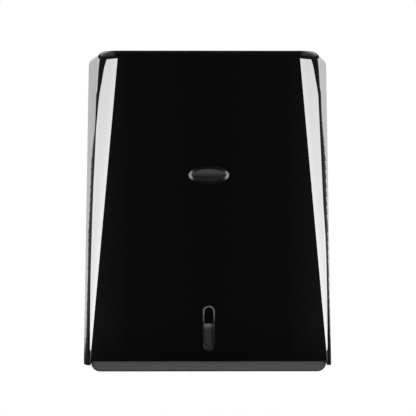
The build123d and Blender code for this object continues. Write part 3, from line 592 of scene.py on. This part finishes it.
def rub_and_highlight_effect():
    """Paler band beside a level edge, broken up by grain, as a mask: light rubbing where it marks the
    cover, and a painted highlight where it marks the tray's top edge.
    """
    group, given, made = effect(
        "rubbed_and_highlit_edge",
        [("Level", "value", 0.0), ("Reach", "value", 0.004), ("Amount", "value", 0.5)],
        [("Mask", "value")],
    )
    place = node(group, "ShaderNodeTexCoord")
    split = node(group, "ShaderNodeSeparateXYZ")
    group.links.new(place.outputs["Object"], split.inputs[0])
    away = maths(group, "ABSOLUTE", maths(group, "SUBTRACT", split.outputs["Z"], given["Level"]), 0.0)
    share = maths(group, "DIVIDE", away, given["Reach"])
    close = spread(group, share, 0.0, 1.0, out_low=1.0, out_high=0.0)
    grain = noise(group, place.outputs["Object"], scale=130.0, detail=5.0, roughness=0.7)
    wear_and_highlight = maths(group, "MULTIPLY", close, spread(group, grain, 0.4, 0.6, out_low=0.5))
    group.links.new(maths(group, "MULTIPLY", wear_and_highlight, given["Amount"]), made["Mask"])
    return group


def metal_effect():
    """Lines and clouds of worked metal, as roughness, height and tone."""
    group, given, made = effect(
        "worked_metal",
        [("Lines", "vector", (900.0, 900.0, 20.0)), ("Smooth", "value", 0.2), ("Rough", "value", 0.4),
         ("Depth", "value", 0.000004)],
        [("Roughness", "value"), ("Height", "value"), ("Tone", "value")],
    )
    place = node(group, "ShaderNodeTexCoord").outputs["Object"]
    lines = noise(group, scaled_place(group, given["Lines"]), scale=1.0)
    clouds = noise(group, place, scale=120.0, detail=4.0, roughness=0.6)
    mixed = maths(group, "MULTIPLY_ADD", clouds, 0.5, maths(group, "MULTIPLY", lines, 0.5))
    group.links.new(spread(group, mixed, 0.35, 0.65, given["Smooth"], given["Rough"]), made["Roughness"])
    group.links.new(maths(group, "MULTIPLY", lines, given["Depth"]), made["Height"])
    group.links.new(spread(group, clouds, 0.3, 0.7), made["Tone"])
    return group


HANDLING = handling_effect()
GRAIN = grain_effect()
FLOW = flow_effect()
DUST = dust_effect()
RUB_AND_HIGHLIGHT = rub_and_highlight_effect()
METAL = metal_effect()


# ================================================================== materials
PLASTIC_IOR = 1.5
LENS_IOR = 1.49
LENS_CLEAN, LENS_SMUDGED = 0.02, 0.06
LENS_SMOKE = (0.2, 0.25)        # alpha where clean and where smudged
WAVE_DEPTH = 0.000003
SATIN_FINENESS = 1500.0
FINE_DEPTH = 0.000004
SCRATCH_TONE = 1.6              # scratches against the plastic around them
DUST_ROUGHENS = 0.3
RUB_ROUGHENS = 0.3
GRAIN_ROUGHENS = 0.06           # the grain's hollows, and its tops the other way


def surface(name, numbers):
    """A new material, with the plain numbers of its shader."""
    made = bpy.data.materials.new(name)
    made.use_nodes = True
    shader = made.node_tree.nodes["Principled BSDF"]
    for label, value in numbers.items():
        shader.inputs[label].default_value = value
    return made, made.node_tree, shader


def placed(tree, group, **values):
    """An effect placed in a material, with its own values."""
    made = node(tree, "ShaderNodeGroup", node_tree=group)
    for label, value in values.items():
        made.inputs[label].default_value = value
    return made.outputs


def relief(tree, shader, height):
    """Surface relief from a height in metres."""
    bump = node(tree, "ShaderNodeBump", {"Strength": 1.0, "Distance": 1.0})
    tree.links.new(height, bump.inputs["Height"])
    tree.links.new(bump.outputs["Normal"], shader.inputs["Normal"])


def grey(value, warmth=0.0):
    """A grey, a little redder or bluer by its warmth."""
    return (value * (1 + warmth), value, value * (1 - warmth), 1.0)


def toned(tree, shader, tone, dark, light, masks=()):
    """Base colour between two tones, with paler layers over it: (mask, colour) pairs."""
    colour = blend_colours(tree, tone, dark, light)
    for mask, layer in masks:
        colour = blend_colours(tree, mask, colour, layer)
    tree.links.new(colour, shader.inputs["Base Color"])


def polished_black(name, dark, clean, smudged, edge_level=None, specular=0.5):
    """Polished black moulding with wiped smudges, faint waviness and thin dust on top."""
    made, tree, shader = surface(name, {"IOR": PLASTIC_IOR, "Specular IOR Level": specular})
    handling = placed(tree, HANDLING, Clean=clean, Smudged=smudged)
    masks = [(placed(tree, DUST, Amount=0.02)["Mask"], grey(0.3, 0.03))]
    roughness = handling["Roughness"]
    if edge_level is not None:
        rub = placed(tree, RUB_AND_HIGHLIGHT, Level=edge_level, Reach=0.002, Amount=0.06)["Mask"]
        masks.append((rub, grey(0.02)))
        roughness = maths(tree, "MULTIPLY_ADD", rub, RUB_ROUGHENS, roughness)
    plain, scratched = grey(dark, -0.05), grey(dark * SCRATCH_TONE, -0.05)
    toned(tree, shader, handling["Scratches"], plain, scratched, masks)
    tree.links.new(roughness, shader.inputs["Roughness"])
    relief(tree, shader, placed(tree, FLOW, Depth=WAVE_DEPTH)["Height"])
    return made


def matte_moulding(name, dark, light, roughness, specular, fineness, depth, dust=0.2, edge_level=None):
    """Fine-grained matte moulding, paler on its grain's tops, with dust on its level faces and, given an
    edge level, a painted highlight beside that edge.
    """
    made, tree, shader = surface(name, {"Specular IOR Level": specular})
    grain = placed(tree, GRAIN, Fineness=fineness, Depth=depth)
    layer = placed(tree, DUST, Amount=dust)["Mask"]
    masks = [(layer, grey(0.28, 0.04))]
    if edge_level is not None:
        # Painted highlight: a pale band beside the edge level, standing in for light catching that edge.
        masks.append((placed(tree, RUB_AND_HIGHLIGHT, Level=edge_level, Reach=0.007, Amount=1.0)["Mask"], grey(0.5)))
    toned(tree, shader, grain["Tone"], grey(dark, -0.02), grey(light, -0.02), masks)
    hollow, top = roughness + GRAIN_ROUGHENS, roughness - GRAIN_ROUGHENS
    rough = spread(tree, grain["Tone"], 0.0, 1.0, hollow, top)
    tree.links.new(maths(tree, "MULTIPLY_ADD", layer, DUST_ROUGHENS, rough), shader.inputs["Roughness"])
    relief(tree, shader, grain["Height"])
    return made


def worked_metal(name, dark, light, smooth, rough, lines, depth=FINE_DEPTH):
    """Bare metal between two tones, with fine lines or clouds left by its working."""
    made, tree, shader = surface(name, {"Metallic": 1.0})
    work = placed(tree, METAL, Lines=lines, Smooth=smooth, Rough=rough, Depth=depth)
    toned(tree, shader, work["Tone"], dark, light)
    tree.links.new(work["Roughness"], shader.inputs["Roughness"])
    relief(tree, shader, work["Height"])
    return made


def sheen_painted_black(name, piece, levels, dark, light, smooth, rough, specular=0.5):
    """Satin black moulding with a painted sheen: charcoal above and black below, between two shares of its
    height, standing in for light from above.
    """
    made, tree, shader = surface(name, {"IOR": PLASTIC_IOR, "Specular IOR Level": specular})
    low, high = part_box(piece)
    start, end = (low.z + share * (high.z - low.z) for share in levels)
    split = node(tree, "ShaderNodeSeparateXYZ")
    tree.links.new(node(tree, "ShaderNodeTexCoord").outputs["Object"], split.inputs[0])
    # Painted sheen: the base colour fades from charcoal at the top to black below.
    painted_sheen = spread(tree, split.outputs["Z"], start, end)
    grain = placed(tree, GRAIN, Fineness=SATIN_FINENESS, Depth=FINE_DEPTH)
    toned(tree, shader, painted_sheen, grey(dark), grey(light))
    tree.links.new(spread(tree, grain["Tone"], 0.0, 1.0, rough, smooth), shader.inputs["Roughness"])
    relief(tree, shader, grain["Height"])
    return made


def smoked_lens():
    """Thin smoked plastic that shows what is behind it, with a few wiped smudges."""
    made, tree, shader = surface("smoked_lens", {"IOR": LENS_IOR, "Metallic": 0.0})
    handling = placed(tree, HANDLING, Clean=LENS_CLEAN, Smudged=LENS_SMUDGED, Scale=30.0)
    toned(tree, shader, handling["Scratches"], grey(0.003), grey(0.01))
    tree.links.new(handling["Roughness"], shader.inputs["Roughness"])
    smoke = spread(tree, handling["Roughness"], LENS_CLEAN, LENS_SMUDGED, *LENS_SMOKE)
    tree.links.new(smoke, shader.inputs["Alpha"])
    return made


# How close the marks of a metal's working stand along X, Y and Z.
UPRIGHT_LINES = (1200.0, 1200.0, 30.0)
CROSS_LINES = (30.0, 1200.0, 1200.0)
ROUND_CLOUDS = (700.0, 700.0, 700.0)
cover_gloss = polished_black(
    "cover_gloss", dark=0.002, clean=0.012, smudged=0.026, edge_level=BASE_Z + FRONT_EDGE_RISE
)
cover_inside = matte_moulding(
    "cover_inside", dark=0.010, light=0.016, roughness=0.4, specular=0.4, fineness=500.0,
    depth=0.00001, dust=0.1,
)
# Painted highlight: the window ring is charcoal along its top arc and fades to black below, as if lit from
# above.
ring_painted_highlight = sheen_painted_black(
    "window_ring_painted_highlight", "window_bezel", (0.6, 1.0), dark=0.004, light=0.12, smooth=0.03, rough=0.06
)
badge_gloss = polished_black("badge_rim_gloss", dark=0.004, clean=0.08, smudged=0.12, specular=0.15)
# Painted sheen: the badge's field is charcoal on its upper part and fades to black below, as if lit from
# above.
badge_painted_sheen = sheen_painted_black(
    "badge_painted_sheen_field", "badge_plate", (0.4, 0.65), dark=0.003, light=0.034, smooth=0.18, rough=0.24,
    specular=0.04,
)
lens = smoked_lens()
# The tray gets a painted highlight along its top edge, through edge_level.
tray_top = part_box("towel_tray")[1].z
tray_satin = matte_moulding(
    "tray_satin", dark=0.042, light=0.054, roughness=0.6, specular=0.06, fineness=700.0,
    depth=0.00003, edge_level=tray_top,
)
chassis_matte = matte_moulding(
    "chassis_matte", dark=0.045, light=0.062, roughness=0.62, specular=0.25, fineness=800.0,
    depth=0.00004,
)
chrome = worked_metal(
    "polished_chrome", grey(0.7, -0.01), grey(0.8, -0.01), smooth=0.05, rough=0.12,
    lines=ROUND_CLOUDS, depth=0.0,
)
brass = worked_metal(
    "nickelled_brass", (0.62, 0.52, 0.3, 1), (0.74, 0.64, 0.4, 1), smooth=0.16, rough=0.3,
    lines=CROSS_LINES,
)
zinc = worked_metal(
    "bright_zinc", grey(0.5, -0.03), grey(0.66, -0.02), smooth=0.22, rough=0.42, lines=ROUND_CLOUDS
)
strip = worked_metal(
    "zinc_strip", grey(0.44, -0.02), grey(0.56, -0.01), smooth=0.28, rough=0.48, lines=UPRIGHT_LINES
)
pin = worked_metal("ground_pin", grey(0.58), grey(0.66), smooth=0.14, rough=0.28, lines=CROSS_LINES)
spring = worked_metal(
    "blued_spring", grey(0.2, -0.06), grey(0.32, -0.05), smooth=0.25, rough=0.4, lines=ROUND_CLOUDS
)

dress(make_cover(), "cover", "cover_plastic", "front_cover", cover_gloss, cover_inside)
dress(make_bezel(), "cover", "bezel_plastic", "window_bezel", ring_painted_highlight)
dress(make_badge(), "cover", "badge_plastic", "badge_plate", badge_gloss, badge_painted_sheen)
kept_nodes = {
    "sight_window": lens, "window_clips": spring, "towel_tray": tray_satin, "back_plate": chassis_matte,
    "guide_left": chassis_matte, "guide_right": chassis_matte, "lock_barrel": chrome,
    "lock_cylinder": brass, "lock_washer": zinc, "lock_nut": zinc, "lock_cam": zinc, "cam_screw": zinc,
    "tray_screws": zinc, "guide_screws": zinc, "keeper_screws": zinc, "lock_keeper": strip,
    "hinge_pin_left": pin, "hinge_pin_right": pin,
}
for name, finish in kept_nodes.items():
    for material_slot in nodes[name].material_slots:
        material_slot.material = finish

# ================================================================== camera, lights and stage
CAMERA_DISTANCE = 2.5           # to the cover's front face
CAMERA_X = -29.96 * MM
CAMERA_TURN = radians(0.665)    # towards +X, back at the object
CAMERA_Z = 2.9 * MM
FRAME_WIDTH = 461.0 * MM        # what the frame spans at the cover's front face
SENSOR = 36.0

camera_data = bpy.data.cameras.new("camera")
camera_data.sensor_width = SENSOR
camera_data.lens = SENSOR * CAMERA_DISTANCE / FRAME_WIDTH
camera = bpy.data.objects.new("camera", camera_data)
camera.location = (CAMERA_X, FRONT_Y - CAMERA_DISTANCE, CAMERA_Z)
camera.rotation_euler = (pi / 2, 0, -CAMERA_TURN)
bpy.context.scene.collection.objects.link(camera)
bpy.context.scene.camera = camera


def glossy_only(card):
    """A card that only shows in reflections."""
    card.visible_camera = False
    card.visible_diffuse = False
    card.visible_shadow = False
    card.visible_transmission = False
    card.visible_volume_scatter = False


def glow_material(name):
    """Emission whose strength is the mesh's own glow value."""
    made = bpy.data.materials.new(name)
    made.use_nodes = True
    tree = made.node_tree
    tree.nodes.clear()
    glow = node(tree, "ShaderNodeAttribute", attribute_name="glow")
    emission = node(tree, "ShaderNodeEmission")
    output = node(tree, "ShaderNodeOutputMaterial")
    tree.links.new(glow.outputs["Fac"], emission.inputs["Strength"])
    tree.links.new(emission.outputs["Emission"], output.inputs["Surface"])
    return made


def glowing(card, glows):
    """Finishes a card: a glow for each vertex, seen in reflections alone."""
    card.data.attributes.new("glow", "FLOAT", "POINT").data.foreach_set("value", glows)
    card.data.materials.append(glow_material(card.name))
    glossy_only(card)


def card_sheet(name, columns):
    """Card of columns of corners: each corner is its place and its glow."""
    verts = [place for column in columns for place, glow in column]
    glows = [glow for column in columns for place, glow in column]
    rows = len(columns[0])
    faces = [
        (first, first + rows, first + rows + 1, first + 1)
        for column in range(len(columns) - 1)
        for first in range(column * rows, column * rows + rows - 1)
    ]
    mesh = bpy.data.meshes.new(name)
    mesh.from_pydata(verts, [], faces)
    card = bpy.data.objects.new(name, mesh)
    bpy.context.scene.collection.objects.link(card)
    glowing(card, glows)


def curved_card(name, radius, stations, side):
    """Card bent around the object: each station holds corners of azimuth, height and glow."""
    columns = []
    for station in stations:
        column = []
        for azimuth, z, glow in station:
            turn = side * radians(azimuth) + CAMERA_TURN
            column.append(((radius * sin(turn), -radius * cos(turn), z), glow))
        columns.append(column)
    card_sheet(name, columns)


def upright(azimuth, *levels):
    """Station of a curved card that stands straight up."""
    return [(azimuth, z, glow) for z, glow in levels]


CARD_RADIUS = 3.0
SURROUND_RADIUS = 3.3
SURROUND_LOW, SURROUND_HIGH = -1.6, 1.7
SURROUND_TURN = 6               # degrees between the surround's stations, or a little more
UNDERFOOT_Z = -1.15
SOFT_STATIONS = (
    upright(5.5, (-0.37, 24.0), (0.56, 16.5)), upright(9, (-0.318, 24.0), (0.56, 16.5)),
    upright(20, (-0.265, 23.5), (0.56, 16.5)), upright(43, (-0.18, 22.0), (0.55, 16.0)),
    upright(61, (-0.118, 20.0), (0.545, 16.0)), upright(80, (-0.08, 17.0), (0.53, 14.5)),
    upright(92, (-0.06, 14.5), (0.49, 12.5)), upright(109, (-0.045, 10.5), (0.43, 9.5)),
)
SOFT_LEFT_END = (
    upright(124.5, (-0.03, 6.8), (0.338, 6.2)), upright(131.5, (-0.012, 5.3), (0.302, 5.0)),
    upright(135, (0.008, 4.7), (0.215, 4.6)), upright(139.5, (0.045, 4.0), (0.17, 3.9)),
    upright(142.5, (0.085, 3.6), (0.14, 3.5)),
)
SOFT_RIGHT_END = (
    upright(112, (-0.04, 10.0), (0.16, 9.3)), upright(124, (-0.02, 6.8), (0.07, 6.6)),
    upright(130, (0.0, 5.6), (0.04, 5.5)),
)
BACK_UPPER_STATIONS = (
    upright(120, (0.503, 4.2), (0.62, 4.2)), upright(132, (0.44, 3.2), (0.62, 3.2)),
    upright(139, (0.38, 2.5), (0.62, 2.5)), upright(150, (0.345, 1.85), (0.62, 1.85)),
    upright(158, (0.32, 1.25), (0.62, 1.25)), upright(165.2, (0.30, 0.8), (0.62, 0.8)),
    upright(166.4, (0.31, 0.77), (0.62, 0.8)),
)
BACK_EDGE = (
    (172.30, -0.37, 0.05), (171.70, -0.31, 0.5), (171.15, -0.24, 0.7), (169.55, -0.05, 0.69),
    (167.86, 0.13, 0.71), (165.95, 0.30, 0.75), (163.12, 0.62, 0.8),
)
BACK_AZIMUTHS = (173, 180)      # where the back card goes on behind its edge


def back_stations(shift):
    """Stations of a back card whose slanting edge stands a little further round."""
    edge = [(azimuth + shift, z, glow) for azimuth, z, glow in BACK_EDGE]
    beyond = [[(azimuth, z, glow) for _, z, glow in BACK_EDGE] for azimuth in BACK_AZIMUTHS]
    return [edge] + beyond


# Glow of the dark surround by azimuth, and the share of it by height.
SURROUND_GLOWS = (
    (0, 0.025), (3.5, 0.04), (5.2, 0.13), (9, 0.13), (135, 0.12), (140, 0.05), (160, 0.05), (180, 0.05)
)
SURROUND_LEVELS = ((SURROUND_LOW, 0.4), (-0.38, 0.4), (-0.26, 1.0), (SURROUND_HIGH, 1.0))


def surround_station(azimuth, glow):
    return upright(azimuth, *((z, glow * share) for z, share in SURROUND_LEVELS))


def surround_stations():
    """Stations of the dark surround, evenly spread between the listed azimuths."""
    stations = []
    for (azimuth, glow), (next_azimuth, next_glow) in zip(SURROUND_GLOWS, SURROUND_GLOWS[1:]):
        parts = max(1, round((next_azimuth - azimuth) / SURROUND_TURN))
        for index in range(parts):
            share = index / parts
            stations.append(surround_station(
                azimuth + share * (next_azimuth - azimuth), glow + share * (next_glow - glow)
            ))
    return stations + [surround_station(*SURROUND_GLOWS[-1])]


# Overhead flag: X and the glows of its rows, which are listed by Y.
OVERHEAD_COLUMNS = (
    (-SURROUND_RADIUS, (0.03, 0.5, 1.0, 1.6)), (-0.8, (0.03, 0.9, 1.8, 2.6)),
    (-0.3, (0.03, 0.05, 0.2, 0.6)), (0.3, (0.03, 0.05, 0.2, 0.6)),
    (0.8, (0.03, 0.9, 1.8, 2.6)), (SURROUND_RADIUS, (0.03, 0.5, 1.0, 1.6)),
)
OVERHEAD_ROWS = (-SURROUND_RADIUS, 0.4, 1.8, SURROUND_RADIUS)
UNDERFOOT_GLOW = 0.03

# Side, its name, the outer end of its soft card and how much further round its back card stands.
CARD_SIDES = ((-1, "left", SOFT_LEFT_END, 0.05), (1, "right", SOFT_RIGHT_END, 0.1))
for side, label, soft_end, shift in CARD_SIDES:
    curved_card("soft_card_" + label, CARD_RADIUS, SOFT_STATIONS + soft_end, side)
    curved_card("back_card_" + label, CARD_RADIUS, back_stations(shift), side)
    curved_card("back_card_upper_" + label, CARD_RADIUS, BACK_UPPER_STATIONS, side)
    curved_card("dark_surround_" + label, SURROUND_RADIUS, surround_stations(), side)
card_sheet("overhead_flag", [
    [((x, y, SURROUND_HIGH), glow) for y, glow in zip(OVERHEAD_ROWS, glows)]
    for x, glows in OVERHEAD_COLUMNS
])
flag_ends = (-SURROUND_RADIUS, SURROUND_RADIUS)
card_sheet("underfoot_flag", [
    [((x, y, UNDERFOOT_Z), UNDERFOOT_GLOW) for y in flag_ends] for x in flag_ends
])

# Floor under the object, clear when seen from below, and soft lamps that don't show in its gloss.
FLOOR_Z = -1.2
FLOOR_SIZE = 18.0
floor = plane("floor", (0, 0, FLOOR_Z), FLOOR_SIZE, FLOOR_SIZE)
floor_pale, floor_tree, floor_shader = surface("floor_pale", {"Roughness": 0.9, "Specular IOR Level": 0.1})
floor_place = node(floor_tree, "ShaderNodeTexCoord").outputs["Object"]
floor_tone = spread(floor_tree, noise(floor_tree, floor_place, scale=3.0), 0.3, 0.7)
toned(floor_tree, floor_shader, floor_tone, grey(0.8), grey(0.83))
underside = node(floor_tree, "ShaderNodeNewGeometry").outputs["Backfacing"]
floor_tree.links.new(maths(floor_tree, "SUBTRACT", 1.0, underside), floor_shader.inputs["Alpha"])
floor.data.materials.append(floor_pale)
floor.visible_diffuse = False


def soft_lamp(name, place, size, watts):
    """Round lamp that faces the object and shows neither to the camera nor in gloss."""
    data = bpy.data.lights.new(name, "AREA")
    data.shape = "DISK"
    data.size = size
    data.energy = watts
    lamp = bpy.data.objects.new(name, data)
    lamp.location = place
    lamp.rotation_euler = (-Vector(place)).to_track_quat("-Z", "Y").to_euler()
    bpy.context.scene.collection.objects.link(lamp)
    lamp.visible_glossy = False
    lamp.visible_camera = False


soft_lamp("key_lamp", (-1.4, -2.6, 1.1), size=1.6, watts=14)
soft_lamp("fill_lamp", (0.9, -2.4, -1.05), size=0.8, watts=62)
soft_lamp("rear_lamp", (0.4, 2.2, 1.9), size=1.6, watts=40)

# World: white to the camera, reflections and glass; soft grey light on everything else, which
# grows between two heights of the sky.
SKY_HEIGHTS = (-0.5, 0.3)
SKY_STRENGTHS = (0.1, 0.5)
world = bpy.data.worlds.new("world")
bpy.context.scene.world = world
world.use_nodes = True
tree = world.node_tree
tree.nodes.clear()
path = node(tree, "ShaderNodeLightPath").outputs
seen = maths(tree, "MAXIMUM", path["Is Camera Ray"], path["Is Glossy Ray"])
seen_or_glass = maths(tree, "MAXIMUM", seen, path["Is Transmission Ray"])
white = node(tree, "ShaderNodeBackground", {"Color": (1, 1, 1, 1)})
height = node(tree, "ShaderNodeSeparateXYZ")
tree.links.new(node(tree, "ShaderNodeTexCoord").outputs["Generated"], height.inputs[0])
sky = spread(tree, height.outputs["Z"], *SKY_HEIGHTS, *SKY_STRENGTHS)
soft = node(tree, "ShaderNodeBackground", {"Color": (1, 1, 1, 1)})
tree.links.new(sky, soft.inputs["Strength"])
mix = node(tree, "ShaderNodeMixShader")
output = node(tree, "ShaderNodeOutputWorld")
tree.links.new(seen_or_glass, mix.inputs["Fac"])
tree.links.new(soft.outputs[0], mix.inputs[1])
tree.links.new(white.outputs[0], mix.inputs[2])
tree.links.new(mix.outputs[0], output.inputs["Surface"])

bpy.context.scene.view_settings.view_transform = "Standard"
